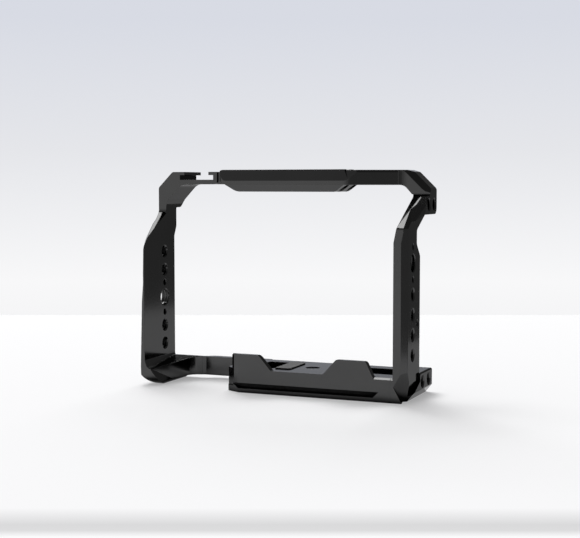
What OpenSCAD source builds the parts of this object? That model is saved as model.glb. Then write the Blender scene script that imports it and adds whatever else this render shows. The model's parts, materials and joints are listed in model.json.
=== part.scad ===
// Camera cage: a machined frame round a mirrorless camera body, with a dovetail base plate.
// Millimetres. X runs across the cage, Y from the lens side to the back, Z up; Z is zero on the table.

/* [Cage] */
// Width over the grip side and the port side
cage_w = 144; // [138:0.5:152]
// Depth from the base plate's front face to the back of the shoe block
cage_d = 44.2; // [43.6:0.1:47]
// Height of the top bar above the table
cage_h = 105.8; // [103:0.1:110]
// Height of the seat that the camera body stands on
seat_z = 11.2; // [10.6:0.1:12.4]

/* [Grip side] */
// Thickness of the grip side wall
grip_t = 4.3; // [3.8:0.1:5]
// Front edge of the grip side wall, behind the base plate's front face
grip_front = 2.7; // [1.5:0.1:4]
// Back edge of the grip side wall
grip_rear = 34.5; // [32:0.1:36]
// How far in front of the back the wall steps out to, below the top corner
grip_step_inset = 7.4; // [5.8:0.1:7.8]
// How far below the top the front edge starts to lean back
grip_lean_drop = 35.5; // [33:0.1:38]
// How far below the top the front edge stops leaning back
grip_lean_top_drop = 20.8; // [19.5:0.1:22.5]
// Front face of the top corner and the shoe block
corner_front = 26.1; // [25:0.1:27]
// Size of the outer bevel on the top corner
corner_bevel = 7.9; // [6:0.1:9]
// Radius under the grip side foot
foot_r = 11; // [8:0.5:12]
// Width of the foot at the table, from the outer face
foot_w = 13; // [12:0.1:15]

/* [Shoe] */
// Width of the slot that an accessory foot slides into
shoe_slot_w = 18.6; // [18.5:0.05:18.8]
// Height of that slot
shoe_slot_h = 2.3; // [2.1:0.05:2.6]
// Gap between the two lips
shoe_gap = 13.4; // [12.5:0.1:14]
// Thickness of the lips
shoe_lip_t = 1.6; // [1.3:0.05:2]
// Thickness of the floor under the slot
shoe_floor_t = 2.3; // [1.8:0.1:3]
// Thickness of the wall on the right of the slot
shoe_wall_t = 2.2; // [1.8:0.1:3]

/* [Top bar] */
// Front face of the thick middle of the top bar
bulge_front = 10.2; // [9:0.1:12]
// Depth of the thick middle
bulge_d = 19.4; // [18:0.1:21]
// Height of the thick middle
bulge_h = 10.5; // [9.3:0.1:11.8]
// Height of the thin part
bar_h = 7.3; // [6.5:0.1:8]
// Distance of the left end of the thick middle from the outer face of the grip side
bulge_left = 40.5; // [39:0.1:42]
// Distance of the right end of the thick middle from the edge of the overall width
bulge_right = 38.4; // [36:0.1:41]
// How far the upper band of the front leans back
bulge_lean = 2.6; // [1.5:0.1:3.5]
// Height of the vertical band of the front, from where the lean starts down
bulge_band_h = 2; // [1.5:0.1:3]

/* [Port side] */
// How far the port side column stands in from the overall width
port_inset = 4.1; // [3:0.1:5]
// Thickness of the port side column
port_t = 6.5; // [6:0.1:7.5]
// Depth of the port side column
port_d = 20; // [19:0.1:22]
// How far below the top the column starts to move outward
port_shift_drop = 33.2; // [31:0.1:36]
// How far below the top the column starts to lean back
port_lean_drop = 26.8; // [25.5:0.1:28.5]
// How far below the top the column stops leaning back
port_lean_top_drop = 11.6; // [10.8:0.1:12.8]
// Front face of the port side top corner
port_corner_front = 21.1; // [20:0.1:22]
// Back face of the port side top corner
port_corner_rear = 32.6; // [32:0.1:34]
// How far below the top the underside of the port side top corner lies
port_corner_drop = 20.8; // [19.8:0.1:22]
// Depth of the port side foot
lug_d = 37.4; // [36.5:0.1:39]

/* [Base plate] */
// Left end of the base plate
base_left_x = -23.2; // [-24:0.1:-21]
// Back face of the base plate
base_rear = 35.2; // [34.8:0.1:36]
// Height of the two front teeth that hold the camera body straight
tooth_z = 18.4; // [16.5:0.1:19]
// Thickness of the front teeth
tooth_t = 3; // [2.4:0.1:3.6]
// Height of the lip below the dovetail groove
dove_lip_z = 2; // [1.6:0.1:2.6]
// Height of the dovetail groove's upper edge
dove_top_z = 4.6; // [4.2:0.1:5.2]
// Depth of the dovetail groove
dove_d = 2.6; // [2:0.1:3.2]
// Side place of the camera screw
screw_x = 15.8; // [14:0.1:18]
// Distance of the camera screw behind the front face
screw_y = 17.2; // [16.5:0.1:18.5]

/* [Holes] */
// Radius of the smaller tapped accessory holes
quarter_r = 2.6; // [2.5:0.05:2.7]
// Radius of the larger tapped accessory holes
three_eighth_r = 4; // [3.9:0.05:4.1]
// Radius of the small locating holes
locate_r = 1.4; // [1.2:0.05:1.6]
// Spacing of the smaller tapped holes
quarter_pitch = 9.2; // [9:0.1:9.6]
// Spacing of the locating holes round the larger hole
locate_pitch = 14.9; // [14.6:0.1:15.4]
// Spacing of the two tapped holes on the port side foot
pair_pitch = 9.9; // [9.4:0.1:10.4]

/* [Hidden] */

// Overrun of every cut past the surface that it opens
over = 1;
// Radial clearance of every screw and dowel in its hole
fit_gap = 0.03;
// Step of every rounded corner, in degrees
arc_step = 5;
// Half of a straight angle, and the half angle above which a corner counts as straight
half_turn = 180;
straight = 89.5;
// How far a corner cut runs on past the faces it joins, as shares of its width and height
edge_reach = 0.6;
bevel_reach = 1.4;
$fn = 48;

// Grip side wall and its foot
grip_lean_z = cage_h - grip_lean_drop;
grip_lean_top_z = cage_h - grip_lean_top_drop;
grip_out = -cage_w / 2;
grip_in = grip_out + grip_t;
grip_lean_r = 8;
grip_foot_front_r = 7;
grip_waist_rise = 2.2;
grip_waist_z = grip_lean_z + grip_waist_rise;
grip_step_h = 5;
grip_step_z = grip_waist_z + grip_step_h;
grip_step_rear = cage_d - grip_step_inset;
grip_step_r = 3;
foot_heel_w = 7.5;
foot_heel_z = 7.7;
foot_throat_w = 1.2;
foot_throat_z = 8.6;
foot_top_z = 12;
foot_inner_r = 2;
grip_hole_y = 24;
grip_hole_share = 0.395;
grip_hole_z = cage_h * grip_hole_share;
grip_row_low_drop = 23.4;
grip_row_low_z = grip_hole_z - grip_row_low_drop;
grip_row_high_rise = 14;
grip_row_high_z = grip_hole_z + grip_row_high_rise;

// Bright bevel down the outer front edge of the grip side, as widths of the flat that it leaves
edge_low_flat = 2.1;
edge_low_y = 6.5;
edge_start_drop = 68;
edge_start_z = cage_h - edge_start_drop;
edge_start_flat = 1.4;
edge_start_y = 6.6;
edge_dip_drop = 55.4;
edge_dip_z = cage_h - edge_dip_drop;
edge_dip_flat = 0.6;
edge_dip_y = 7.6;
edge_mid_drop = 38.8;
edge_mid_z = cage_h - edge_mid_drop;
edge_mid_flat = 0.35;
edge_mid_y = 7.6;
edge_bend_drop = 33.3;
edge_bend_z = cage_h - edge_bend_drop;
edge_bend_front = 6.5;
edge_bend_flat = 0.3;
edge_bend_y = 6.6;
edge_half_drop = 26.8;
edge_half_z = cage_h - edge_half_drop;
edge_half_front = 16.6;
edge_half_flat = 2.5;
edge_half_y = 3;
edge_top_drop = 21.8;
edge_top_z = cage_h - edge_top_drop;
edge_top_front = 24.5;
edge_top_flat = 3.8;
edge_top_y = 1.8;
edge_end_drop = 19.8;
edge_end_z = cage_h - edge_end_drop;
edge_end_flat = 4.2;
edge_end_y = 0.2;

// Small inner bevel at the top of the grip side's lean
grip_bevel_y = 12.8;
grip_bevel_drop = 29.2;
grip_bevel_z = cage_h - grip_bevel_drop;
grip_bevel_top_y = 26.2;
grip_bevel_d = 1.2;
grip_bevel_w = 1.8;

// Top corner of the grip side
corner_drop = 0.8;
corner_top_z = cage_h - corner_drop;
corner_under_drop = 18.8;
corner_under_z = cage_h - corner_under_drop;
corner_rear_r = 4;
corner_cove_r = 3;
corner_inner_w = 8.6;
corner_inner_h = 9;
corner_inner_r = 6;

// Shoe block
shoe_from_side = 21.45;
shoe_x = grip_out + shoe_from_side;
shoe_right_x = shoe_x + shoe_slot_w / 2 + shoe_wall_t;
shoe_ceiling_z = corner_top_z - shoe_lip_t;
shoe_floor_z = shoe_ceiling_z - shoe_slot_h;
shoe_under_z = shoe_floor_z - shoe_floor_t;
shoe_r = 2;
shoe_mark_w = 0.8;

// Joints between the frame pieces: two screws with a dowel pair between them
joint_lap_w = 9.5;
joint_screw_r = 1.25;
joint_head_r = 2.1;
joint_head_h = 2;
joint_key_r = 0.9;
joint_key_h = 1.2;
joint_screw_spread = 4.6;
joint_dowel_r = 0.8;
joint_dowel_spread = 3.8;
joint_depth = 4.6;
joint_seat = 2;
joint_well = 12;
joint_dowel_length = 5;

// Bar behind the opening, from the foot to the back of the base plate
rear_bar_low_z = 1.7;
rear_bar_top_z = 11.1;
rear_bar_rebate = 2;
rear_bar_front = base_rear - rear_bar_rebate;
rear_bar_d = 4.2;
rear_bar_rear = rear_bar_front + rear_bar_d;
rear_bar_bend = 26;
rear_bar_bend_x = grip_out + rear_bar_bend;
rear_bar_bend_w = 3.5;
web_front = 3.2;
web_corner_w = 3.8;
web_corner_x = grip_out + foot_w + web_corner_w;
web_corner_d = 1.2;
web_corner_r = 6.5;
rear_bar_step = 20.5;
rear_bar_step_x = grip_out + rear_bar_step;
rear_bar_step_d = 0.8;
rear_bar_step_w = 2.3;
rear_bar_r = 6;
rear_bar_tongue_x = base_left_x + joint_lap_w;

// Neck between the shoe block and the thick middle
bulge_left_x = grip_out + bulge_left;
neck_back = 0.9;
neck_front = corner_front + neck_back;
neck_lap_share = 0.353;
gusset_inset = 0.2;
gusset_rear = cage_d - gusset_inset;
neck_lap_y = neck_front + neck_lap_share * (gusset_rear - neck_front);
neck_end_x = shoe_right_x + joint_lap_w;
neck_top_z = corner_top_z;
gusset_w = 7.5;
gusset_x = bulge_left_x + gusset_w;

// Thick middle of the top bar
bulge_under_z = cage_h - bulge_h;
bulge_right_x = cage_w / 2 - bulge_right;
bulge_rear = bulge_front + bulge_d;
bar_under_z = cage_h - bar_h;
bulge_crease_z = bar_under_z + bulge_band_h;
bulge_low_lean = 0.7;
bulge_left_r = 4.5;
bulge_rear_r = 1.5;
curve_start = 1.6;
curve_w = 8.6;
curve_drop = 0.2;
curve_top_z = bulge_crease_z - curve_drop;
curve_top_r = 4;
curve_low_r = 7;
slope_w = 4.4;
slope_r = 2;

// Port side column
port_shift_z = cage_h - port_shift_drop;
port_lean_z = cage_h - port_lean_drop;
port_lean_top_z = cage_h - port_lean_top_drop;
port_corner_z = cage_h - port_corner_drop;
port_out = cage_w / 2 - port_inset;
port_in = port_out - port_t;
port_edge_w = 2.9;
port_edge_d = 1.9;
port_waist_low_drop = 39.8;
port_waist_low_z = cage_h - port_waist_low_drop;
port_waist_drop = 34.2;
port_waist_z = cage_h - port_waist_drop;
port_waist_top_drop = 27.8;
port_waist_top_z = cage_h - port_waist_top_drop;
port_waist_d = 14.8;
port_waist_r = 2;
port_throat_y = 27.4;
port_throat_drop = 21.1;
port_throat_z = cage_h - port_throat_drop;
port_corner_r = 3;
port_hole_y = 9.3;
port_hole_share = 0.5965;
port_hole_z = cage_h * port_hole_share;
port_row_share = 0.461;
port_row_z = cage_h * port_row_share;
port_small_hole_y = 16.3;
port_small_hole_share = 0.3325;
port_small_hole_z = cage_h * port_small_hole_share;

// Thin part of the top bar, to the port side
bar_top_drop = 0.3;
bar_top_z = cage_h - bar_top_drop;
seam_inset = 4.4;
bar_end_x = port_in - seam_inset;
oblique_shift = 1.9;
oblique_x = bulge_right_x + oblique_shift;
oblique_r = 9;
oblique_bevel_h = 1.1;
oblique_bevel_d = 0.8;
runout_back = 0.4;
runout_x = bulge_right_x - runout_back;
runout_w = 5.6;
runout_low_w = 1.8;
runout_low_rise = 1.4;
runout_d = 3.6;
port_lap_x = bar_end_x - joint_lap_w;
port_lap_d = 5.9;
port_lap_y = port_corner_front + port_lap_d;
bar_gusset_w = 4;

// Tapped holes down through the top bar, in two rows
top_hole_inset = 2.1;
top_hole_x = bulge_right_x - top_hole_inset;
top_hole_back = 6.7;
top_hole_y = bulge_front + top_hole_back;
top_hole_rows = 9.9;
top_hole_pitch = 10.2;
top_hole_columns = 3;

// Top corner of the port side
lean_shift = 2.8;
shift_low = 1.3;
port_lean_low_r = 1.5;
port_lean_top_r = 1;
port_bevel_w = 8;
port_bevel_low_drop = 9;
port_bevel_z = cage_h - port_bevel_low_drop;
port_bevel_drop = 1.2;
port_bevel_top_z = cage_h - port_bevel_drop;
port_bevel_end = 11;
port_bevel_end_x = cage_w / 2 - port_bevel_end;
port_corner_edge_w = 3.8;
port_corner_edge_d = 2.4;
port_shift_edge_w = 1.8;
port_shift_edge_d = 1.4;
port_inner_edge_d = 1.4;
ear_root_y = 0.6;
ear_side_drop = 23;
ear_side_z = cage_h - ear_side_drop;
ear_side_y = 7.5;
ear_r = 8;
ear_front = 13.3;
ear_hole_front = 15.6;
ear_top_edge_d = 1;
bar_fillet_inset = 8.9;
bar_fillet_x = port_out - bar_fillet_inset;
bar_fillet_r = 9.7;
bar_fillet_w = 2.5;
port_inner_inset = 1.8;
port_inner_x = port_in - port_inner_inset;
port_inner_drop = 12.4;
port_inner_z = cage_h - port_inner_drop;
port_inner_top_r = 4.5;
port_inner_r = 2.5;
corner_hole_y = 20.2;
corner_hole_pitch = 8.4;
corner_hole_drop = 16.2;
corner_hole_z = cage_h - corner_hole_drop;

// Port side foot
lug_proud = 1.1;
lug_out = port_out + lug_proud;
lug_rise = 0.5;
lug_top_z = seat_z + lug_rise;
lug_base_inset = 3;
lug_edge_z = 3.8;
lug_front = 18.2;
lug_toe_y = 3;
lug_toe_z = 1;
lug_rise_z = 7.9;
facet_w = 1.9;
facet_front = 6.5;
facet_front_z = 9;
facet_rear = 21;
facet_rear_z = 8.3;
facet_low_y = 3;
facet_low_z = 1;
cut_top_w = 3.3;
cut_top_z = 12.7;
cut_left_w = 0.3;
cut_left_z = 7.5;
cut_right_y = 4.5;
cut_right_z = 8.7;
cut_low_w = 2.4;
cut_low_z = 3.6;
cut_base_w = 3.8;
cut_base_y = 2.4;
corner_hole_depth = 5;
lug_hole_y = 21.9;
lug_hole_z = 7.3;
seam_gap = 1.2;
foot_seam_x = port_in - seam_gap;
foot_lap_w = 8;
foot_lap_x = foot_seam_x - foot_lap_w;
foot_lap_z = 5;
foot_lap_shift = 0.6;
foot_lap_wall = 2.2;
foot_lap_front = dove_d + foot_lap_wall;

// Base plate
notch_left_x = 1.4;
notch_right = 32.6;
notch_right_x = foot_seam_x - notch_right;
tooth_left_x = -4.9;
tooth_left_rest = 3.2;
tooth_left_end = base_left_x + tooth_left_rest;
tooth_right = 26.1;
tooth_right_x = foot_seam_x - tooth_right;
tooth_right_rest = 11.7;
tooth_right_end = foot_seam_x - tooth_right_rest;
tooth_foot = 8.2;
tooth_foot_x = foot_seam_x - tooth_foot;
tooth_r = 1.2;
tooth_rear_bevel = 1;
base_corner_w = 7.8;
base_corner_d = 4.2;
base_corner_r = 3;
corner_cut_w = 4.8;
corner_cut_d = 5.8;
corner_cut_z = 2.9;
seat_bevel_h = 0.8;
seat_bevel_d = 1.6;
dove_left = 2.2;
dove_left_x = base_left_x + dove_left;
dove_taper = 5.4;
dove_right_top = 5.7;
dove_right_top_x = foot_seam_x - dove_right_top;
dove_right_low = 8.2;
dove_right_low_x = foot_seam_x - dove_right_low;
left_window_right_x = -0.5;
left_window_left_x = -11.5;
left_window_front = 8;
left_window_rear = 29;
right_window_left_x = 25.5;
right_window_front = 11;
right_window_rear = 28.3;
window_r = 2;

// Camera screw with its washer and the ring that keeps it in the base plate
screw_r = 3.175;
screw_head_r = 6.75;
screw_head_h = 2;
screw_head_z = 1.1;
screw_slot_w = 1.2;
screw_slot_h = 1.3;
screw_tip_drop = 0.5;
screw_tip_z = seat_z - screw_tip_drop;
screw_tip_bevel = 0.6;
washer_r = 6.5;
washer_t = 0.5;
washer_hole_r = 3.3;
washer_z = screw_head_z + screw_head_h;
screw_well_r = 7.25;
screw_roof_z = 7.7;
screw_hole_r = 3.45;
ring_z = 0.3;
ring_t = 0.7;
ring_r = 7.7;
ring_hole_r = 5.5;
ring_groove_gap = 0.05;
ring_gap = 4;

// Pad on the seat
base_pad_right_x = 7.8;
base_pad_edge = 0.8;
base_pad_left_x = left_window_right_x + base_pad_edge;
base_pad_front = 8;
base_pad_rear = 29;
base_pad_rise = 0.5;
base_pad_sink = 0.5;
base_pad_r = 1.5;

// Mouth bevel of the tapped holes
mouth = 0.6;
eighth_mouth = 0.4;
small_mouth = 0.3;

// Point of a rounded corner: the corner c lies between a and b, and t runs from 0 to 1 along its arc
function unit(v) = v / norm(v);
function corner_points(a, c, b, r) =
    let (u = unit(a - c), v = unit(b - c), half = acos(u * v) / 2)
    r == 0 || half > straight ? [c] :
    let (centre = c + unit(u + v) * r / sin(half),
         first = c + u * r / tan(half) - centre,
         turn = sign(u.x * v.y - u.y * v.x) * (2 * half - half_turn),
         steps = max(1, round(abs(turn) / arc_step)))
    [for (i = [0:steps]) let (angle = turn * i / steps)
        centre + [first.x * cos(angle) - first.y * sin(angle), first.x * sin(angle) + first.y * cos(angle)]];

// Outline from corners given as [across, up, radius]
function rounded(corners) =
    let (count = len(corners), flat = [for (c = corners) [c.x, c.y]])
    [for (i = [0:count - 1])
        each corner_points(flat[(i + count - 1) % count], flat[i], flat[(i + 1) % count], corners[i].z)];

// An outline drawn on one plane and extruded along the third axis
module along_x(low, high) translate([low, 0, 0]) rotate([90, 0, 90]) linear_extrude(high - low) children();
module along_y(low, high) translate([0, high, 0]) rotate([90, 0, 0]) linear_extrude(high - low) children();
module along_z(low, high) translate([0, 0, low]) linear_extrude(high - low) children();
module outline(corners) polygon(rounded(corners));
module block(low, high) translate(low) cube(high - low);

// Solid between a triangle below and a triangle above, both counterclockwise from above
module wedge(low, high) polyhedron(points = concat(low, high),
    faces = [[0, 1, 2], [3, 5, 4], [0, 3, 4], [0, 4, 1], [1, 4, 5], [1, 5, 2], [2, 5, 3], [2, 3, 0]]);

// Half space beyond the plane through three points, on the side from which they run counterclockwise
module beyond(a, b, c) {
    n = unit(cross(b - a, c - a));
    translate(a) rotate([0, acos(n.z), atan2(n.y, n.x)]) translate([-cage_h, -cage_h, 0])
        cube([2 * cage_h, 2 * cage_h, cage_h]);
}

// Puts what runs up from the origin along X or Y instead
module to_x(place) translate(place) rotate([0, 90, 0]) children();
module to_y(place) translate(place) rotate([-90, 0, 0]) children();

// Hole of a given length with a bevelled mouth at each end
module bore(length, r, bevel) {
    translate([0, 0, -over]) cylinder(h = length + 2 * over, r = r);
    for (end = [0, 1]) translate([0, 0, end * length]) mirror([0, 0, end])
        translate([0, 0, -over]) cylinder(h = over + bevel, r1 = r + bevel + over, r2 = r);
}

// Hole from its floor up to its mouth
module blind_bore(depth, r, bevel) {
    cylinder(h = depth + over, r = r);
    translate([0, 0, depth - bevel]) cylinder(h = over + bevel, r1 = r, r2 = r + bevel + over);
}

// Screw up from its seat, with a hex key recess in its head
module joint_screw() difference() {
    union() {
        translate([0, 0, -joint_head_h]) cylinder(h = joint_head_h, r = joint_head_r);
        cylinder(h = joint_seat + joint_depth - over / 2, r = joint_screw_r);
    }
    translate([0, 0, -joint_head_h - over]) cylinder(h = joint_key_h + over, r = joint_key_r, $fn = 6);
}
module joint_screw_cut() {
    cylinder(h = joint_seat + joint_depth, r = joint_screw_r + fit_gap);
    translate([0, 0, -joint_well]) cylinder(h = joint_well, r = joint_head_r + fit_gap);
}
module joint_dowel() cylinder(h = joint_dowel_length, r = joint_dowel_r);
module joint_dowel_cut() cylinder(h = joint_dowel_length, r = joint_dowel_r + fit_gap);

// Four joints: where a lap's screws and dowels stand
module at_lap(x, y, z) translate([x, y, z]) rotate([90, 0, 0]) children();
module lap_screws() for (side = [-1, 1])
    translate([side * joint_screw_spread / 2, 0, -joint_seat]) children();
module lap_dowels() for (side = [-1, 1])
    translate([0, side * joint_dowel_spread / 2, -joint_dowel_length / 2]) children();
module at_shoe_lap()
    at_lap(shoe_right_x + joint_lap_w / 2, neck_lap_y, (shoe_under_z + neck_top_z) / 2) children();
module at_port_lap()
    at_lap(bar_end_x - joint_lap_w / 2, port_lap_y, (bar_under_z + bar_top_z) / 2) children();
module at_grip_lap()
    at_lap(base_left_x + joint_lap_w / 2, rear_bar_front, (rear_bar_low_z + rear_bar_top_z) / 2) children();

module behind_front() translate([0, -cage_d / 2, 0]) children();

// Corner cut off an upright edge: the flat's end on the front, the end on the side, and a point outside both
function edge_cut(front, side, z) =
    let (along = side - front, first = front - along * edge_reach, last = side + along * edge_reach,
         outside = [last.x, first.y], right = side.x > front.x)
    right ? [[first.x, first.y, z], [outside.x, outside.y, z], [last.x, last.y, z]]
          : [[first.x, first.y, z], [last.x, last.y, z], [outside.x, outside.y, z]];

// Grip side wall with its top corner, the shoe block and the foot, seen from the front
module grip_front_view() difference() {
    outline([[grip_out, 0, foot_r],
             [grip_out + foot_w, 0, foot_inner_r / 2],
             [grip_out + foot_heel_w, foot_heel_z, foot_inner_r],
             [grip_in + foot_throat_w, foot_throat_z, foot_inner_r],
             [grip_in, foot_top_z, foot_inner_r],
             [grip_in, shoe_under_z - corner_inner_h, corner_inner_r],
             [grip_in + corner_inner_w, shoe_under_z, corner_inner_r],
             [shoe_right_x, shoe_under_z, shoe_r],
             [shoe_right_x, corner_top_z, shoe_mark_w / 2],
             [grip_out + corner_bevel, corner_top_z, shoe_r],
             [grip_out, corner_top_z - corner_bevel, shoe_r]]);
    translate([shoe_x - shoe_slot_w / 2, shoe_floor_z]) square([shoe_slot_w, shoe_slot_h]);
    translate([shoe_x - shoe_gap / 2, shoe_floor_z]) square([shoe_gap, shoe_slot_h + shoe_lip_t + over]);
}

// The same piece seen from the side
module grip_side_view() outline([
    [grip_front, 0, grip_foot_front_r],
    [grip_rear, 0, grip_step_r],
    [grip_rear, grip_waist_z, grip_step_r],
    [grip_step_rear, grip_step_z, grip_step_r],
    [grip_step_rear, corner_under_z, shoe_mark_w],
    [cage_d, corner_under_z, corner_rear_r],
    [cage_d, corner_top_z, shoe_mark_w / 2],
    [corner_front, corner_top_z, 0],
    [corner_front, grip_lean_top_z, corner_cove_r],
    [grip_front, grip_lean_z, grip_lean_r]]);

module grip_edge_bevel() {
    low = edge_cut([grip_in - edge_low_flat, grip_front], [grip_out, grip_front + edge_low_y], -over);
    start = edge_cut([grip_in - edge_start_flat, grip_front], [grip_out, grip_front + edge_start_y],
                     edge_start_z);
    dip = edge_cut([grip_in - edge_dip_flat, grip_front], [grip_out, grip_front + edge_dip_y], edge_dip_z);
    mid = edge_cut([grip_in - edge_mid_flat, grip_front], [grip_out, grip_front + edge_mid_y], edge_mid_z);
    bend = edge_cut([grip_in - edge_bend_flat, edge_bend_front], [grip_out, edge_bend_front + edge_bend_y],
                    edge_bend_z);
    half = edge_cut([grip_in - edge_half_flat, edge_half_front], [grip_out, edge_half_front + edge_half_y],
                    edge_half_z);
    top = edge_cut([grip_in - edge_top_flat, edge_top_front], [grip_out, edge_top_front + edge_top_y],
                   edge_top_z);
    end = edge_cut([grip_in - edge_end_flat, corner_front], [grip_out, corner_front + edge_end_y],
                   edge_end_z);
    wedge(low, start);
    wedge(start, dip);
    wedge(dip, mid);
    wedge(mid, bend);
    wedge(bend, half);
    wedge(half, top);
    wedge(top, end);
}

// Small face between the lean and the inner side of the wall, wider towards the top
module grip_inner_bevel() {
    low = [grip_in, grip_bevel_y, grip_bevel_z];
    right = [grip_in, grip_bevel_top_y + grip_bevel_d, grip_lean_top_z];
    left = [grip_in - grip_bevel_w, grip_bevel_top_y, grip_lean_top_z];
    intersection() {
        beyond(low, right, left);
        block([grip_out, -over, grip_bevel_z], [grip_in + over, corner_front, grip_lean_top_z]);
    }
}

module rear_bar_plan() outline([
    [grip_in, web_front, 0],
    [grip_out + foot_heel_w, web_front, 0],
    [web_corner_x, rear_bar_front - web_corner_d, web_corner_r],
    [rear_bar_step_x, rear_bar_front - rear_bar_step_d, rear_bar_step_d],
    [rear_bar_step_x + rear_bar_step_w, rear_bar_front, rear_bar_step_d],
    [rear_bar_tongue_x, rear_bar_front, 0],
    [rear_bar_tongue_x, rear_bar_rear, joint_head_h / 2],
    [rear_bar_bend_x, rear_bar_rear, rear_bar_r],
    [rear_bar_bend_x - rear_bar_bend_w, grip_rear, rear_bar_r],
    [grip_in, grip_rear, 0]]);

// The web between the foot and the bar rises towards the bar
module web_top_cut() beyond([grip_in, web_front, foot_heel_z], [web_corner_x, web_front, foot_heel_z],
                            [grip_in, rear_bar_front, rear_bar_top_z]);

module grip_side_frame() color([0.13, 0.13, 0.14]) behind_front() difference() {
    union() {
        intersection() {
            along_y(0, cage_d) grip_front_view();
            along_x(grip_out - over, shoe_right_x + over) grip_side_view();
        }
        intersection() {
            difference() {
                along_z(rear_bar_low_z, rear_bar_top_z) rear_bar_plan();
                web_top_cut();
            }
            along_y(0, cage_d) outline([
                [grip_out, 0, foot_r], [rear_bar_tongue_x, 0, 0],
                [rear_bar_tongue_x, rear_bar_top_z, 0], [grip_out, rear_bar_top_z, 0]]);
            along_x(grip_out, rear_bar_tongue_x) outline([
                [grip_front, 0, grip_foot_front_r], [cage_d, 0, 0],
                [cage_d, rear_bar_top_z, 0], [grip_front, rear_bar_top_z, 0]]);
        }
        along_z(shoe_under_z, neck_top_z) outline([
            [shoe_right_x - over, neck_lap_y, 0],
            [neck_end_x, neck_lap_y, 0],
            [neck_end_x, gusset_y(neck_end_x), 0],
            [shoe_right_x, gusset_rear, 0],
            [shoe_right_x - over, gusset_rear, 0]]);
    }
    grip_edge_bevel();
    grip_inner_bevel();
    for (row = [grip_row_low_z, grip_row_high_z], step = [0, 1])
        to_x([grip_out, grip_hole_y, row + step * quarter_pitch]) bore(grip_t, quarter_r, mouth);
    to_x([grip_out, grip_hole_y, grip_hole_z]) bore(grip_t, three_eighth_r, eighth_mouth);
    for (side = [-1, 1])
        to_x([grip_out, grip_hole_y, grip_hole_z + side * locate_pitch / 2])
            bore(grip_t, locate_r, small_mouth);
    at_shoe_lap() {
        lap_screws() joint_screw_cut();
        lap_dowels() joint_dowel_cut();
    }
    at_grip_lap() {
        lap_screws() joint_screw_cut();
        lap_dowels() joint_dowel_cut();
    }
}

// Back of the neck at a side place, running from the shoe block to the thick middle
function gusset_y(x) =
    gusset_rear + (bulge_rear - gusset_rear) * (x - shoe_right_x) / (gusset_x - shoe_right_x);

// Thick middle of the top bar: side view, front view and plan
module bulge_side_view() outline([
    [bulge_front + bulge_low_lean, bulge_under_z, 0],
    [bulge_rear, bulge_under_z, bulge_rear_r],
    [bulge_rear, cage_h, bulge_rear_r],
    [bulge_front + bulge_lean, cage_h, 0],
    [bulge_front, bulge_crease_z, 0],
    [bulge_front, bar_under_z, 0]]);
module bulge_front_view() outline([
    [bulge_left_x, cage_h, shoe_r],
    [bulge_left_x, curve_top_z, 0],
    [bulge_left_x + curve_start, curve_top_z, curve_top_r],
    [bulge_left_x + curve_start + curve_w, bulge_under_z, curve_low_r],
    [bulge_right_x - slope_w, bulge_under_z, slope_r],
    [bulge_right_x, bar_under_z, 0],
    [bulge_right_x, cage_h, 0]]);
module bulge_plan() outline([
    [bulge_left_x, bulge_front, bulge_left_r],
    [bulge_right_x, bulge_front, 0],
    [bulge_right_x, bulge_rear, 0],
    [bulge_left_x, bulge_rear, bulge_rear_r]]);

module top_bar_plan() outline([
    [bulge_right_x - slope_w, bulge_front, 0],
    [oblique_x, bulge_front, oblique_r],
    [bar_end_x, oblique_y(bar_end_x), 0],
    [bar_end_x, port_lap_y, 0],
    [port_lap_x, port_lap_y, 0],
    [port_lap_x, port_corner_rear, 0],
    [port_lap_x - bar_gusset_w, bulge_rear, bar_gusset_w],
    [bulge_right_x - slope_w, bulge_rear, 0]]);

// The front's lean runs out over the start of the thin part, whose top edge is bevelled from there on
module bar_edge_cuts() {
    crease = [bulge_right_x, bulge_front, bulge_crease_z];
    lean = [0, bulge_lean, cage_h - bulge_crease_z];
    low = [bulge_right_x + runout_low_w, bulge_front + bulge_lean * runout_low_rise / lean.z,
           bulge_crease_z + runout_low_rise];
    right = [bulge_right_x + runout_w, oblique_y(bulge_right_x + runout_w), bar_top_z - oblique_bevel_h];
    left = [runout_x, bulge_front + runout_d, cage_h];
    beyond(crease, crease + [over, 0, 0], crease + lean);
    intersection() {
        beyond(low, right, left);
        beyond(low, left + [0, over, 0], left);
    }
    beyond([oblique_x, bulge_front, right.z], [bar_end_x, oblique_y(bar_end_x), right.z],
           [bar_end_x, oblique_y(bar_end_x) + oblique_bevel_d, bar_top_z]);
}

module top_bar() color([0.13, 0.13, 0.14]) behind_front() difference() {
    union() {
        intersection() {
            along_x(bulge_left_x - over, bulge_right_x) bulge_side_view();
            along_y(0, cage_d) bulge_front_view();
            along_z(0, cage_h + over) bulge_plan();
        }
        difference() {
            along_z(bar_under_z, bar_top_z) top_bar_plan();
            bar_edge_cuts();
        }
        along_z(shoe_under_z, neck_top_z) outline([
            [shoe_right_x, neck_front, 0],
            [gusset_x, neck_front, 0],
            [gusset_x, bulge_rear, 0],
            [neck_end_x, gusset_y(neck_end_x), 0],
            [neck_end_x, neck_lap_y, 0],
            [shoe_right_x, neck_lap_y, 0]]);
    }
    for (column = [0:top_hole_columns - 1], row = [0, 1])
        translate([top_hole_x - column * top_hole_pitch, top_hole_y + row * top_hole_rows, bulge_under_z])
            bore(cage_h - bulge_under_z, quarter_r, mouth);
    at_shoe_lap() {
        lap_screws() joint_screw_cut();
        lap_dowels() joint_dowel_cut();
    }
    at_port_lap() {
        lap_screws() joint_screw_cut();
        lap_dowels() joint_dowel_cut();
    }
}

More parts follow.
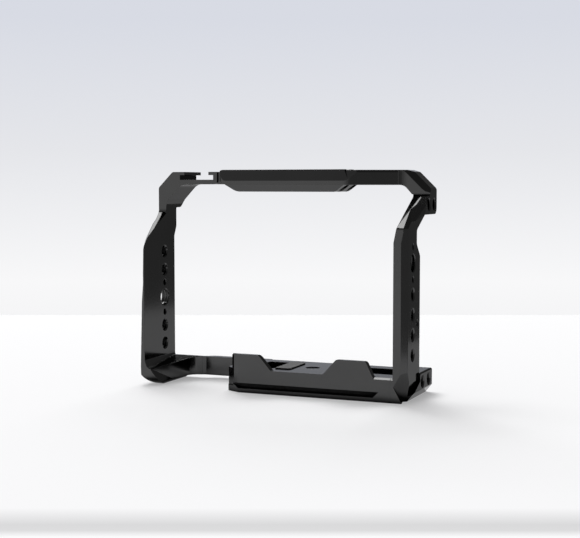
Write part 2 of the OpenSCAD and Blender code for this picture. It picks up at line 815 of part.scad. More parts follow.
// Port side column with its leaning top, seen from the side and from the front
module port_side_view() outline([
    [0, 0, 0],
    [port_d, 0, 0],
    [port_d, port_waist_low_z, port_waist_r],
    [port_waist_d, port_waist_z, port_waist_r],
    [port_waist_d, port_waist_top_z, port_waist_r],
    [port_throat_y, port_throat_z, port_waist_r],
    [port_corner_rear, port_corner_z, port_corner_r],
    [port_corner_rear, bar_top_z, shoe_mark_w],
    [port_corner_front, bar_top_z, 0],
    [port_corner_front, port_lean_top_z, port_lean_top_r],
    [0, port_lean_z, port_lean_low_r]]);
module port_front_view() outline([
    [port_in, 0, 0],
    [cage_w / 2, 0, 0],
    [cage_w / 2, port_bevel_z, shoe_r],
    [cage_w / 2 - port_bevel_w, port_bevel_top_z, shoe_r],
    [port_bevel_end_x, bar_top_z, 0],
    [port_lap_x, bar_top_z, 0],
    [port_lap_x, bar_under_z, 0],
    [port_inner_x, bar_under_z, port_inner_top_r],
    [port_in + lean_shift, port_inner_z, port_inner_r],
    [port_in + shift_low, port_lean_z, port_inner_r],
    [port_in, port_shift_z, port_inner_r]]);

// Ear that carries the two tapped holes at the top corner, flaring out of the column's side
module port_ear() difference() {
    along_x(port_in + lean_shift, cage_w / 2) outline([
        [0, port_lean_z, 0], [ear_side_y, ear_side_z, ear_r], [ear_front, port_corner_z, 0],
        [port_corner_rear, port_corner_z, port_corner_r], [port_corner_rear, bar_top_z, shoe_mark_w],
        [port_corner_front, bar_top_z, 0], [port_corner_front, port_lean_top_z, port_lean_top_r]]);
    beyond([port_out, ear_root_y, port_lean_z], [cage_w / 2, ear_front, port_corner_z],
           [cage_w / 2, ear_hole_front, corner_hole_z]);
}

// Front face of the top bar's thin part, turned towards the port side
function oblique_y(x) =
    bulge_front + (port_corner_front - bulge_front) * (x - oblique_x) / (bar_fillet_x - oblique_x);
module bar_fillet() outline([
    [bar_end_x, oblique_y(bar_end_x), 0], [bar_fillet_x, port_corner_front, bar_fillet_r],
    [bar_fillet_x + bar_fillet_w, port_corner_front, 0], [bar_fillet_x + bar_fillet_w, port_lap_y, 0],
    [bar_end_x, port_lap_y, 0]]);

module port_edge_bevel() {
    low = edge_cut([port_out - port_edge_w, 0], [port_out, port_edge_d], -over);
    shift = edge_cut([port_out - port_edge_w, 0], [port_out, port_edge_d], port_shift_z);
    lean = edge_cut([port_out - port_shift_edge_w, 0], [port_out, port_shift_edge_d], port_lean_z);
    top = edge_cut([cage_w / 2 - port_corner_edge_w, port_corner_front],
                   [cage_w / 2, port_corner_front + ear_top_edge_d], port_lean_top_z);
    share = (corner_hole_z - port_lean_z) / (port_lean_top_z - port_lean_z);
    flat_x = (1 - share) * (port_out - port_shift_edge_w) + share * (cage_w / 2 - port_corner_edge_w);
    ear = edge_cut([flat_x, share * port_corner_front], [cage_w / 2, ear_hole_front], corner_hole_z);
    wedge(low, shift);
    wedge(shift, lean);
    wedge(lean, ear);
    wedge(ear, top);
    bevel = edge_cut([cage_w / 2 - port_corner_edge_w, port_corner_front],
                     [cage_w / 2, port_corner_front + port_corner_edge_d], port_bevel_z);
    wedge(top, bevel);
    rise = [-port_bevel_w, 0, port_bevel_top_z - port_bevel_z] * bevel_reach;
    wedge(bevel, [for (p = bevel) p + rise]);
}

// Small face between the lean and the inner side of the column, wider towards the top
module port_inner_bevel() {
    low = [port_in + shift_low, 0, port_lean_z];
    right = [cage_w / 2 - port_corner_edge_w, port_corner_front, port_lean_top_z];
    left = [port_in + lean_shift, port_corner_front + port_inner_edge_d, port_lean_top_z];
    intersection() {
        beyond(low, right, left);
        block([port_in - over, -over, port_lean_z], [right.x, left.y + over, port_lean_top_z]);
    }
}

// Facet under the column's outer side, and the corner cut off its foot
module foot_facet() {
    back = [port_out, facet_rear, facet_rear_z];
    front = [port_out, facet_front, facet_front_z];
    low = [port_out - facet_w, facet_low_y, facet_low_z];
    intersection() {
        beyond(back, front, low);
        block([port_in, -over, -over], [port_out + over, port_d + over, facet_front_z]);
    }
}
module foot_corner_cut() {
    top = [port_in + cut_top_w, 0, cut_top_z];
    left = [port_in + cut_left_w, 0, cut_left_z];
    right = [port_out, cut_right_y, cut_right_z];
    intersection() {
        beyond(top, left, right);
        beyond([port_in + cut_low_w, 0, cut_low_z], [port_in + cut_base_w, cut_base_y, 0], left);
        block([left.x, -over, -over], [lug_out + over, lug_front, cut_top_z + over]);
    }
}

module lug_front_view() outline([
    [foot_seam_x, 0, 0],
    [lug_out - lug_base_inset, 0, 0],
    [lug_out, lug_edge_z, shoe_mark_w],
    [lug_out, lug_top_z, shoe_mark_w],
    [foot_seam_x, lug_top_z, 0]]);

module port_side_frame() color([0.13, 0.13, 0.14]) behind_front() difference() {
    union() {
        intersection() {
            along_y(0, port_corner_rear) port_front_view();
            union() {
                difference() {
                    along_x(port_lap_x, port_out) port_side_view();
                    foot_facet();
                }
                port_ear();
                along_z(bar_under_z - over, bar_top_z) bar_fillet();
            }
        }
        intersection() {
            along_y(0, lug_d) lug_front_view();
            along_x(foot_seam_x, lug_out) outline([
                [lug_toe_y, 0, 0], [lug_d, 0, 0], [lug_d, lug_top_z, shoe_mark_w], [lug_front, lug_top_z, 0],
                [lug_front, lug_rise_z, 0], [lug_toe_y, lug_toe_z, 0]]);
        }
        block([foot_seam_x, 0, 0], [port_in + over, lug_front, seat_z]);
        block([foot_lap_x, foot_lap_front, 0], [foot_seam_x + over, right_window_front, foot_lap_z]);
        block([foot_lap_x, right_window_rear, 0], [foot_seam_x + over, base_rear, foot_lap_z]);
    }
    port_edge_bevel();
    port_inner_bevel();
    foot_corner_cut();
    seat_bevel();
    block([port_lap_x - over, 0, bar_under_z - over], [bar_end_x, port_lap_y, cage_h + over]);
    for (step = [0:3])
        to_x([port_in, port_hole_y, port_row_z - step * quarter_pitch]) bore(port_t, quarter_r, mouth);
    to_x([port_in, port_hole_y, port_hole_z]) bore(port_t, three_eighth_r, eighth_mouth);
    for (side = [-1, 1])
        to_x([port_in, port_hole_y, port_hole_z + side * locate_pitch / 2])
            bore(port_t, locate_r, small_mouth);
    to_x([port_in, port_small_hole_y, port_small_hole_z]) bore(port_t, locate_r, small_mouth);
    for (step = [0, 1]) {
        to_x([cage_w / 2 - corner_hole_depth, corner_hole_y + step * corner_hole_pitch, corner_hole_z])
            blind_bore(corner_hole_depth, quarter_r, mouth);
        to_x([foot_seam_x, lug_hole_y + step * pair_pitch, lug_hole_z])
            bore(lug_out - foot_seam_x, quarter_r, mouth);
    }
    at_port_lap() {
        lap_screws() joint_screw_cut();
        lap_dowels() joint_dowel_cut();
    }
    at_foot_laps() foot_lap_cuts();
}

// The two arms of the base plate that lie over the port side foot: one screw and one dowel in each
module at_foot_laps()
    for (y = [(foot_lap_front + right_window_front) / 2, (right_window_rear + base_rear) / 2])
        translate([foot_lap_x + foot_lap_w / 2, y, foot_lap_z]) children();
module foot_lap_cuts() {
    foot_lap_screw() joint_screw_cut();
    foot_lap_dowel() joint_dowel_cut();
}
module foot_lap_screw() translate([-joint_screw_spread / 2 + foot_lap_shift, 0, -joint_seat]) children();
module foot_lap_dowel() translate([joint_screw_spread / 2, 0, -joint_dowel_length / 2]) children();

// Base plate seen from the front, with its two teeth
module base_front_view() outline([
    [base_left_x, 0, 0],
    [foot_seam_x, 0, 0],
    [foot_seam_x, seat_z, 0],
    [tooth_foot_x, seat_z, tooth_r],
    [tooth_right_end, tooth_z, tooth_r],
    [tooth_right_x, tooth_z, tooth_r],
    [notch_right_x, seat_z, tooth_r],
    [notch_left_x, seat_z, tooth_r],
    [tooth_left_x, tooth_z, tooth_r],
    [tooth_left_end, tooth_z, tooth_r],
    [base_left_x, seat_z, tooth_r]]);
module base_side_view() outline([
    [0, 0, 0], [base_rear, 0, 0], [base_rear, seat_z, 0], [tooth_t, seat_z, 0],
    [tooth_t, tooth_z - tooth_rear_bevel, 0], [tooth_t - tooth_rear_bevel, tooth_z, 0], [0, tooth_z, 0]]);
module base_plan() outline([
    [base_left_x, base_corner_d, base_corner_r], [base_left_x + base_corner_w, 0, base_corner_r],
    [foot_seam_x, 0, 0], [foot_seam_x, base_rear, 0], [base_left_x, base_rear, 0]]);

// The left corner is cut back above the lip, and the seat falls away towards the front beside the right tooth
module base_corner_cut() along_z(corner_cut_z, tooth_z + over) polygon([
    [base_left_x + corner_cut_w, base_corner_d * (1 - corner_cut_w / base_corner_w)],
    [base_left_x, corner_cut_d],
    [base_left_x - over, corner_cut_d],
    [base_left_x - over, -over],
    [base_left_x + corner_cut_w, -over]]);
module seat_bevel() along_x(tooth_foot_x, port_in) polygon([
    [0, seat_z - seat_bevel_h], [seat_bevel_d, seat_z], [seat_bevel_d, seat_z + over], [-over, seat_z + over],
    [-over, seat_z - seat_bevel_h]]);

module base_plate() color([0.13, 0.13, 0.14]) behind_front() difference() {
    intersection() {
        along_y(0, base_rear) base_front_view();
        along_x(base_left_x, foot_seam_x) base_side_view();
        along_z(0, tooth_z) base_plan();
    }
    along_y(-over, dove_d) outline([
        [dove_left_x, dove_top_z, 0], [dove_left_x + dove_taper, dove_lip_z, 0],
        [dove_right_low_x, dove_lip_z, 0], [dove_right_top_x, dove_top_z, 0]]);
    base_corner_cut();
    seat_bevel();
    along_z(-over, tooth_z) {
        outline([[left_window_left_x, left_window_front, window_r],
                 [left_window_right_x, left_window_front, window_r],
                 [left_window_right_x, left_window_rear, window_r],
                 [left_window_left_x, left_window_rear, window_r]]);
        outline([[right_window_left_x, right_window_front, window_r],
                 [foot_seam_x + over, right_window_front, 0], [foot_seam_x + over, right_window_rear, 0],
                 [right_window_left_x, right_window_rear, window_r]]);
    }
    translate([screw_x, screw_y, 0]) {
        translate([0, 0, -over]) cylinder(h = screw_roof_z + over, r = screw_well_r);
        cylinder(h = seat_z + over, r = screw_hole_r);
        translate([0, 0, ring_z - ring_groove_gap])
            cylinder(h = ring_t + 2 * ring_groove_gap, r = ring_r + ring_groove_gap);
    }
    block([foot_lap_x, foot_lap_front, -over], [foot_seam_x + over, base_rear + over, foot_lap_z]);
    block([base_left_x - over, rear_bar_front, -over], [rear_bar_tongue_x, base_rear + over, tooth_z]);
    along_z(seat_z - base_pad_sink, tooth_z) base_pad_outline();
    at_grip_lap() {
        lap_screws() joint_screw_cut();
        lap_dowels() joint_dowel_cut();
    }
    at_foot_laps() foot_lap_cuts();
}
module base_pad_outline() outline([
    [base_pad_left_x, base_pad_front, 0], [base_pad_right_x, base_pad_front, base_pad_r],
    [base_pad_right_x, base_pad_rear, base_pad_r], [base_pad_left_x, base_pad_rear, 0]]);

module camera_screw() color([0.62, 0.62, 0.64]) behind_front() translate([screw_x, screw_y, 0]) difference() {
    union() {
        translate([0, 0, screw_head_z]) {
            cylinder(h = screw_head_h, r = screw_head_r);
            cylinder(h = screw_tip_z - screw_tip_bevel - screw_head_z, r = screw_r);
        }
        translate([0, 0, screw_tip_z - screw_tip_bevel])
            cylinder(h = screw_tip_bevel, r1 = screw_r, r2 = screw_r - screw_tip_bevel);
    }
    block([-screw_head_r - over, -screw_slot_w / 2, 0],
          [screw_head_r + over, screw_slot_w / 2, screw_head_z + screw_slot_h]);
}

module screw_washer() color([0.75, 0.75, 0.76]) behind_front() translate([screw_x, screw_y, washer_z])
    difference() {
        cylinder(h = washer_t, r = washer_r);
        translate([0, 0, -over]) cylinder(h = washer_t + 2 * over, r = washer_hole_r);
    }

module screw_retaining_ring() color([0.45, 0.45, 0.46]) behind_front() translate([screw_x, screw_y, ring_z])
    difference() {
        cylinder(h = ring_t, r = ring_r);
        translate([0, 0, -over]) cylinder(h = ring_t + 2 * over, r = ring_hole_r);
        block([-ring_gap / 2, 0, -over], [ring_gap / 2, ring_r + over, ring_t + over]);
    }

module shoe_joint_screws() color([0.3, 0.3, 0.31]) behind_front()
    at_shoe_lap() lap_screws() joint_screw();
module port_top_joint_screws() color([0.3, 0.3, 0.31]) behind_front()
    at_port_lap() lap_screws() joint_screw();
module port_base_joint_screws() color([0.3, 0.3, 0.31]) behind_front()
    at_foot_laps() foot_lap_screw() joint_screw();
module grip_base_joint_screws() color([0.3, 0.3, 0.31]) behind_front()
    at_grip_lap() lap_screws() joint_screw();
module shoe_joint_dowels() color([0.7, 0.7, 0.71]) behind_front()
    at_shoe_lap() lap_dowels() joint_dowel();
module port_top_joint_dowels() color([0.7, 0.7, 0.71]) behind_front()
    at_port_lap() lap_dowels() joint_dowel();
module port_base_joint_dowels() color([0.7, 0.7, 0.71]) behind_front()
    at_foot_laps() foot_lap_dowel() joint_dowel();
module grip_base_joint_dowels() color([0.7, 0.7, 0.71]) behind_front()
    at_grip_lap() lap_dowels() joint_dowel();

module base_pad() color([0.2, 0.2, 0.2]) behind_front()
    along_z(seat_z - base_pad_sink, seat_z + base_pad_rise) base_pad_outline();

grip_side_frame();
top_bar();
port_side_frame();
base_plate();
camera_screw();
screw_washer();
screw_retaining_ring();
shoe_joint_screws();
port_top_joint_screws();
port_base_joint_screws();
grip_base_joint_screws();
shoe_joint_dowels();
port_top_joint_dowels();
port_base_joint_dowels();
grip_base_joint_dowels();
base_pad();
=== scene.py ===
"""A machined camera cage on a white table, black anodised, seen from the front right."""

import json
import math

import bpy
from mathutils import Matrix, Vector


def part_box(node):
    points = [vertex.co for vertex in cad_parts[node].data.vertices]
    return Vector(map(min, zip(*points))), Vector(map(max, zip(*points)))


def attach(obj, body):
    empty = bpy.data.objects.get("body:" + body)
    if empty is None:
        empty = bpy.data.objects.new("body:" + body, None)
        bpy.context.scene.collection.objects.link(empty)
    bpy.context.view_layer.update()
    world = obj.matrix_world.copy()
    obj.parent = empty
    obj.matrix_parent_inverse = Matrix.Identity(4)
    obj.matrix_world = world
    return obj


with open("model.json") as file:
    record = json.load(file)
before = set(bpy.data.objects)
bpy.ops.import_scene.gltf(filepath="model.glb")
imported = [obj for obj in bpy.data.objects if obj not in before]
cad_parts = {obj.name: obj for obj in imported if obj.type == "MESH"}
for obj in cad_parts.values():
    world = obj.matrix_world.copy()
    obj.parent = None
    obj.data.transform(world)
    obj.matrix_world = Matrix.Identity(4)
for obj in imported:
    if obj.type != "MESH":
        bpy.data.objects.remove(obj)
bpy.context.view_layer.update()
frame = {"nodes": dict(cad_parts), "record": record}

# The camera stands a little to the right of the cage and slightly above its middle, with a long lens, as
# product pictures are taken: upright lines stay upright and nothing close looks larger.
VIEW_TURN = math.radians(22.73)
ALONG_VIEW = (-0.386, 0.922, 0)
lens = bpy.data.cameras.new("camera")
lens.sensor_width = 36
lens.lens = 75.37
lens.clip_start = 0.01
camera = bpy.data.objects.new("camera", lens)
camera.location = (0.2285, -0.5407, 0.0987)
camera.rotation_euler = (math.radians(86.02), 0, VIEW_TURN)
bpy.context.scene.collection.objects.link(camera)
bpy.context.scene.camera = camera


# Four frame pieces are milled from aluminium bar, bead-blasted and anodised black: the grip side with the
# cold shoe, the top bar, the port side and the base plate. The dyed oxide keeps the metal's sheen, so flat
# faces show soft pictures of the studio, and the tumbled edges catch a thin line of light.
def linear(hex_colour):
    channels = [int(hex_colour[i:i + 2], 16) / 255 for i in (1, 3, 5)]
    return [c / 12.92 if c <= 0.04045 else ((c + 0.055) / 1.055) ** 2.4 for c in channels] + [1]


def add(tree, kind, links=(), **settings):
    node = tree.nodes.new(kind)
    for name, value in settings.items():
        if hasattr(node, name):
            setattr(node, name, value)
        else:
            node.inputs[name.replace("_", " ")].default_value = value
    for source, name in links:
        tree.links.new(source, node.inputs[name])
    return node


def finish_of(name):
    material = bpy.data.materials.new(name)
    material.use_nodes = True
    tree = material.node_tree
    tree.nodes.clear()
    return material, tree


def dress(objects, material):
    for piece in objects:
        if not piece.material_slots:
            piece.data.materials.append(material)
        for slot in piece.material_slots:
            slot.material = material


# Aluminium, glass-bead blasted, then sulphuric anodised and dyed black: a satin that is darkest face on.
# The beads leave dimples of about 0.1 mm, drawn 0.35 mm wide so that they show, and very shallow. Hands
# leave faint patches some 18 mm across, and tumbling rounds the edges by 0.3 mm. Grooves, holes and inner
# corners are painted darker, down to near black, by an ambient occlusion mask: painted shade for the
# shadow that falls in them. The oxide dulls the shine at a low angle, a little less where the same mask
# marks the hollows.
MM = 0.001
nodes = frame["nodes"]
anodised, tree = finish_of("black_anodised_aluminium")
place = add(tree, "ShaderNodeTexCoord")
beads = add(tree, "ShaderNodeTexNoise", [(place.outputs["Object"], "Vector")],
            Scale=1 / (0.35 * MM), Detail=1)
handling = add(tree, "ShaderNodeTexNoise", [(place.outputs["Object"], "Vector")],
               Scale=1 / (18 * MM), Detail=3, Roughness=0.55)
edge = add(tree, "ShaderNodeBevel", Radius=0.3 * MM, samples=12)
dimples = add(tree, "ShaderNodeBump", [(beads.outputs["Fac"], "Height"), (edge.outputs["Normal"], "Normal")],
              Strength=0.015, Distance=0.02 * MM)
dye = add(tree, "ShaderNodeMix", [(handling.outputs["Fac"], "Factor")], data_type="RGBA")
dye.inputs["A"].default_value = linear("#484848")
dye.inputs["B"].default_value = linear("#4e4e4e")
# Painted shade: ambient occlusion darkens grooves, holes and inner corners towards near black.
shelter = add(tree, "ShaderNodeAmbientOcclusion", samples=16, Distance=6 * MM)
painted_shade_mask = add(tree, "ShaderNodeMapRange", [(shelter.outputs["AO"], "Value")],
            From_Min=0.5, From_Max=0.8, To_Min=0, To_Max=1)
# The near black mixed in here is painted shade, laid over the dye by the mask.
dye_with_painted_shade = add(tree, "ShaderNodeMix", [(painted_shade_mask.outputs["Result"], "Factor"), (dye.outputs["Result"], "B")],
           data_type="RGBA")
dye_with_painted_shade.inputs["A"].default_value = linear("#060606")
# The same painted-shade mask sets the grazing tint, a little brighter in the hollows.
low_shine = add(tree, "ShaderNodeMix", [(painted_shade_mask.outputs["Result"], "Factor")], data_type="RGBA")
low_shine.inputs["A"].default_value = linear("#e0e0e0")
low_shine.inputs["B"].default_value = linear("#bcbcbc")
satin = add(tree, "ShaderNodeMapRange", [(handling.outputs["Fac"], "Value")],
            From_Min=0.3, From_Max=0.7, To_Min=0.11, To_Max=0.15)
shell = add(tree, "ShaderNodeBsdfPrincipled",
            [(dye_with_painted_shade.outputs["Result"], "Base Color"), (satin.outputs["Result"], "Roughness"),
             (low_shine.outputs["Result"], "Specular Tint"), (dimples.outputs["Normal"], "Normal")],
            Metallic=1.0)
add(tree, "ShaderNodeOutputMaterial", [(shell.outputs["BSDF"], "Surface")])
dress([nodes[n] for n in ("grip_side_frame", "top_bar", "port_side_frame", "base_plate")], anodised)


# Every accessory hole is tapped, and its thread is cut before the anodising, so it is as black as the walls.
# Each gets one turned ridge at the pitch of its camera thread, rooted just inside the wall. The holes of
# 2.6 mm radius take a quarter inch screw, and those of 4 mm a three eighths one.
def thread(name, centre, axis, radius, length, pitch):
    crest, root, half = 0.14, 0.03, 0.3 * pitch
    run = length - 2 * half
    steps_per_turn = 28
    steps = max(24, int(run / pitch * steps_per_turn))
    turn = Vector((0, 0, 1)).rotation_difference(Vector(axis)).to_matrix()
    points, faces = [], []
    for i in range(steps + 1):
        angle = 2 * math.pi * run / pitch * i / steps
        height = run * (i / steps - 0.5)
        for r, rise in ((radius + root, -half), (radius - crest, 0), (radius + root, half)):
            points.append(turn @ Vector((r * math.cos(angle), r * math.sin(angle), height + rise)))
    for i in range(steps):
        a, b = 3 * i, 3 * i + 3
        faces += [(a, a + 1, b + 1, b), (a + 1, a + 2, b + 2, b + 1), (a + 2, a, b, b + 2)]
    faces += [(0, 2, 1), (3 * steps, 3 * steps + 1, 3 * steps + 2)]
    mesh = bpy.data.meshes.new(name)
    mesh.from_pydata([MM * (Vector(centre) + p) for p in points], [], faces)
    mesh.validate()
    piece = bpy.data.objects.new(name, mesh)
    bpy.context.scene.collection.objects.link(piece)
    dress([piece], anodised)
    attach(piece, "cage")


PITCHES = {2.6: 1.27, 4.0: 1.5875}
# The slope at the end of the thick middle opens the lower 3.6 mm of two holes
OPEN_BELOW = ("top_hole_front_1", "top_hole_rear_1")
OPEN_LENGTH = 3.6
for mount in frame["record"]["mounts"]:
    radius = mount["dims"].get("r_mm")
    if mount["kind"] == "threaded_hole" and radius in PITCHES:
        centre = [c / MM for c in mount["pos_m"]]
        length = mount["dims"]["length_mm"]
        if mount["name"] in OPEN_BELOW:
            length -= OPEN_LENGTH
            centre[2] += OPEN_LENGTH / 2
        name = mount["name"].replace("hole", "thread")
        thread(name, centre, mount["axis"], radius, length, PITCHES[radius])

# Socket screws hold the frame pieces together behind each seam. They are alloy steel with a black oxide
# skin, a little duller than the anodising, and the ground dowels beside them stay bare.
# Black oxide on rolled steel: thin, so the steel's sheen comes through, mottled in spots of 0.6 mm.
oxide, tree = finish_of("black_oxide_steel")
place = add(tree, "ShaderNodeTexCoord")
scale = add(tree, "ShaderNodeTexNoise", [(place.outputs["Object"], "Vector")], Scale=1 / (0.6 * MM), Detail=2)
gloss = add(tree, "ShaderNodeMapRange", [(scale.outputs["Fac"], "Value")], To_Min=0.22, To_Max=0.36)
skin = add(tree, "ShaderNodeBsdfPrincipled", [(gloss.outputs["Result"], "Roughness")],
           Metallic=1.0, Base_Color=linear("#5a5a5e"))
add(tree, "ShaderNodeOutputMaterial", [(skin.outputs["BSDF"], "Surface")])
dress([nodes[n] for n in ("shoe_joint_screws", "port_top_joint_screws", "port_base_joint_screws",
                          "grip_base_joint_screws", "screw_retaining_ring")], oxide)

# Centreless ground steel: bright, with the wheel's fine marks as a mottle of 0.3 mm in its gloss.
ground, tree = finish_of("ground_steel")
place = add(tree, "ShaderNodeTexCoord")
marks = add(tree, "ShaderNodeTexNoise", [(place.outputs["Object"], "Vector")], Scale=1 / (0.3 * MM), Detail=1)
gloss = add(tree, "ShaderNodeMapRange", [(marks.outputs["Fac"], "Value")], To_Min=0.15, To_Max=0.3)
pin = add(tree, "ShaderNodeBsdfPrincipled", [(gloss.outputs["Result"], "Roughness")],
          Metallic=1.0, Base_Color=linear("#c4c6c8"))
add(tree, "ShaderNodeOutputMaterial", [(pin.outputs["BSDF"], "Surface")])
dress([nodes[n] for n in ("shoe_joint_dowels", "port_top_joint_dowels", "port_base_joint_dowels",
                          "grip_base_joint_dowels")], ground)

# The camera screw is turned from stainless bar, with a slot for a coin, and hangs in a well under the
# base plate on its retaining ring. A slippery washer lies over its head.
# Stainless steel, face-turned: the tool leaves rings round the axis that spread the highlight. They are
# 0.25 mm apart on the real screw, and 1.57 mm here so that they show. The wave repeats every pi / 10.
turned, tree = finish_of("turned_stainless_steel")
low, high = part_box("camera_screw")
place = add(tree, "ShaderNodeTexCoord")
centred = add(tree, "ShaderNodeVectorMath", [(place.outputs["Object"], 0)], operation="SUBTRACT")
centred.inputs[1].default_value = ((low[0] + high[0]) / 2, (low[1] + high[1]) / 2, 0)
rings = add(tree, "ShaderNodeTexWave", [(centred.outputs["Vector"], "Vector")], wave_type="RINGS",
            rings_direction="Z", Scale=math.pi / 10 / (1.57 * MM), Distortion=0.4)
cut = add(tree, "ShaderNodeBump", [(rings.outputs["Fac"], "Height")], Strength=0.3, Distance=0.02 * MM)
steel = add(tree, "ShaderNodeBsdfPrincipled", [(cut.outputs["Normal"], "Normal")],
            Metallic=1.0, Base_Color=linear("#8b8c8e"), Roughness=0.26, Specular_Tint=linear("#808080"))
add(tree, "ShaderNodeOutputMaterial", [(steel.outputs["BSDF"], "Surface")])
dress([nodes["camera_screw"]], turned)

# Acetal, punched from sheet: milky, smooth and slightly waxy, with a faint flow of 2 mm in its gloss.
acetal, tree = finish_of("natural_acetal")
place = add(tree, "ShaderNodeTexCoord")
flow = add(tree, "ShaderNodeTexNoise", [(place.outputs["Object"], "Vector")], Scale=1 / (2 * MM), Detail=2)
gloss = add(tree, "ShaderNodeMapRange", [(flow.outputs["Fac"], "Value")], To_Min=0.36, To_Max=0.44)
washer = add(tree, "ShaderNodeBsdfPrincipled", [(gloss.outputs["Result"], "Roughness")],
             Base_Color=linear("#dcdbd6"), IOR=1.48, Subsurface_Weight=0.1)
add(tree, "ShaderNodeOutputMaterial", [(washer.outputs["BSDF"], "Surface")])
dress([nodes["screw_washer"]], acetal)

# A pad of moulded silicone rubber, glued into a shallow recess in the seat, keeps the camera body off the
# metal and stops it from turning on the screw.
# Silicone rubber from a spark-eroded mould: matt, with a fine grain of 0.4 mm.
silicone, tree = finish_of("black_silicone_rubber")
place = add(tree, "ShaderNodeTexCoord")
grain = add(tree, "ShaderNodeTexVoronoi", [(place.outputs["Object"], "Vector")], Scale=1 / (0.4 * MM))
texture = add(tree, "ShaderNodeBump", [(grain.outputs["Distance"], "Height")],
              Strength=0.4, Distance=0.05 * MM)
rubber = add(tree, "ShaderNodeBsdfPrincipled", [(texture.outputs["Normal"], "Normal")],
             Base_Color=linear("#121213"), Roughness=0.6, IOR=1.41, Specular_IOR_Level=0.2)
add(tree, "ShaderNodeOutputMaterial", [(rubber.outputs["BSDF"], "Surface")])
dress([nodes["base_pad"]], silicone)

# The table is a sheet that lies square to the view. It ends a third of a metre behind the cage, where the
# wall shows over it, and its right side runs just outside the picture, so the faces turned that way mirror
# the dim room beyond it.
CORNERS = ((-0.8, -0.6, 0), (0.1, -0.6, 0), (0.1, -0.28, 0), (0.24, 0.329, 0), (-0.8, 0.329, 0))
square_to_view = Matrix.Rotation(VIEW_TURN, 3, "Z")
table_mesh = bpy.data.meshes.new("table")
table_mesh.from_pydata([square_to_view @ Vector(corner) for corner in CORNERS], [], [(0, 1, 2, 3, 4)])
table = bpy.data.objects.new("table", table_mesh)
bpy.context.scene.collection.objects.link(table)


def seen_directly(tree):
    path = add(tree, "ShaderNodeLightPath")
    total = path.outputs["Is Camera Ray"]
    for kind in ("Is Glossy Ray", "Is Transmission Ray"):
        total = add(tree, "ShaderNodeMath", [(total, 0), (path.outputs[kind], 1)], operation="ADD",
                    use_clamp=True).outputs["Value"]
    return total


def lay_colours(ramp, stops):
    for step, (position, colour) in enumerate(stops):
        if step > 1:
            ramp.elements.new(position)
        ramp.elements[step].position = position
        ramp.elements[step].color = linear(colour)


# White laminate, pressed smooth and matt. A soft grey band, 30 mm wide, is painted across its near end as
# painted shade; the sheet itself is flat. A third of what the eye and the mirrors get is the sheet's own
# white, band included, and the rest is lit by the lamps, which keeps the shadow.
laminate, tree = finish_of("white_laminate")
place = add(tree, "ShaderNodeTexCoord")
nearness = add(tree, "ShaderNodeVectorMath", [(place.outputs["Object"], 0)], operation="DOT_PRODUCT")
nearness.inputs[1].default_value = ALONG_VIEW
# Painted shade: a grey band across the near end of the flat sheet, placed by distance along the view.
painted_shade_band = add(tree, "ShaderNodeMapRange", [(nearness.outputs["Value"], "Value")],
          From_Min=-0.252, From_Max=-0.2215, To_Min=0, To_Max=1)
white = add(tree, "ShaderNodeValToRGB", [(painted_shade_band.outputs["Result"], "Fac")])
# The grey middle stops are the painted shade band; the two ends are the sheet's white.
lay_colours(white.color_ramp, ((0, "#f7f7f8"), (0.21, "#d9d9da"), (0.4, "#d6d6d7"), (1, "#f4f4f5")))
lit = add(tree, "ShaderNodeBsdfDiffuse", [(white.outputs["Color"], "Color")])
own = add(tree, "ShaderNodeEmission", [(white.outputs["Color"], "Color")], Strength=1.08)
share = add(tree, "ShaderNodeMath", [(seen_directly(tree), 0)], operation="MULTIPLY")
share.inputs[1].default_value = 0.33
both = add(tree, "ShaderNodeMixShader", [(share.outputs["Value"], "Fac"), (lit.outputs["BSDF"], 1),
                                         (own.outputs["Emission"], 2)])
add(tree, "ShaderNodeOutputMaterial", [(both.outputs["Shader"], "Surface")])
dress([table], laminate)


# A bright softbox hangs high behind the left shoulder of the cage, where the leaning strips mirror it. A
# wider one stands farther back and lower, and throws the soft shadows forward on the table. Both are
# turned to the middle of the cage.
def softbox(name, position, width, depth, watts):
    light = bpy.data.lights.new(name, "AREA")
    light.shape = "RECTANGLE"
    light.size = width
    light.size_y = depth
    light.energy = watts
    lamp = bpy.data.objects.new(name, light)
    lamp.location = position
    middle = Vector((0, 0, 0.05))
    lamp.rotation_euler = (middle - Vector(position)).to_track_quat("-Z", "Y").to_euler()
    bpy.context.scene.collection.objects.link(lamp)


softbox("key_softbox", (-3.4, 2.1, 6.3), 4.4, 3.4, 292)
softbox("back_softbox", (-2.8, 5.8, 5.4), 6.2, 3.4, 535)

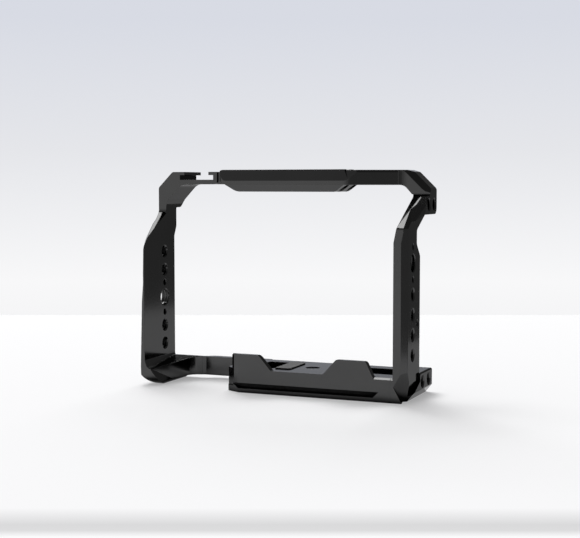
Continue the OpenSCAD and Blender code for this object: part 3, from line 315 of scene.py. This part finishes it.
# The room has a pale wall behind the cage, a little bluer upward, which the camera sees and the cage
# mirrors. What lights the cage is the rest of the room: full towards the front left, about a quarter of
# that to the right, which gives the faces turned that way their dark tone, and half as strong overhead.
room = bpy.data.worlds.new("room")
bpy.context.scene.world = room
room.use_nodes = True
tree = room.node_tree
tree.nodes.clear()
place = add(tree, "ShaderNodeTexCoord")
axes = add(tree, "ShaderNodeSeparateXYZ", [(place.outputs["Generated"], "Vector")])
height = add(tree, "ShaderNodeMapRange", [(axes.outputs["Z"], "Value")],
             From_Min=-0.107, From_Max=0.132, To_Min=0, To_Max=1)
wall = add(tree, "ShaderNodeValToRGB", [(height.outputs["Result"], "Fac")])
lay_colours(wall.color_ramp, ((0, "#f5f5f6"), (0.12, "#f8f8f9"), (0.565, "#e5e6ea"), (1, "#d8dbe4")))
behind = add(tree, "ShaderNodeVectorMath", [(place.outputs["Generated"], 0)], operation="DOT_PRODUCT")
behind.inputs[1].default_value = ALONG_VIEW
backdrop = add(tree, "ShaderNodeMapRange", [(behind.outputs["Value"], "Value")],
               From_Min=0.95, From_Max=0.985, To_Min=0, To_Max=1)
front_left = add(tree, "ShaderNodeVectorMath", [(place.outputs["Generated"], 0)], operation="DOT_PRODUCT")
front_left.inputs[1].default_value = (-0.8, -0.6, 0)
level = add(tree, "ShaderNodeMapRange", [(front_left.outputs["Value"], "Value")],
            From_Min=0.3, From_Max=0.9, To_Min=0.27, To_Max=1)
fade = add(tree, "ShaderNodeMapRange", [(axes.outputs["Z"], "Value")],
           From_Min=0, From_Max=0.7, To_Min=1, To_Max=0.5)
strength = add(tree, "ShaderNodeMath", [(level.outputs["Result"], 0), (fade.outputs["Result"], 1)],
               operation="MULTIPLY")
path = add(tree, "ShaderNodeLightPath")
mirrored = add(tree, "ShaderNodeMath",
               [(path.outputs["Is Glossy Ray"], 0), (path.outputs["Is Transmission Ray"], 1)],
               operation="ADD", use_clamp=True)
shown = add(tree, "ShaderNodeMath", [(mirrored.outputs["Value"], 0), (backdrop.outputs["Result"], 1)],
            operation="MULTIPLY")
pale = add(tree, "ShaderNodeMath", [(shown.outputs["Value"], 0), (path.outputs["Is Camera Ray"], 1)],
           operation="ADD", use_clamp=True)
seen = add(tree, "ShaderNodeBackground", [(wall.outputs["Color"], "Color")], Strength=1.0)
dim = add(tree, "ShaderNodeBackground", [(strength.outputs["Value"], "Strength")], Color=linear("#f6f6f6"))
both = add(tree, "ShaderNodeMixShader", [(pale.outputs["Value"], "Fac"), (dim.outputs["Background"], 1),
                                         (seen.outputs["Background"], 2)])
add(tree, "ShaderNodeOutputWorld", [(both.outputs["Shader"], "Surface")])

bpy.context.scene.view_settings.view_transform = "Standard"
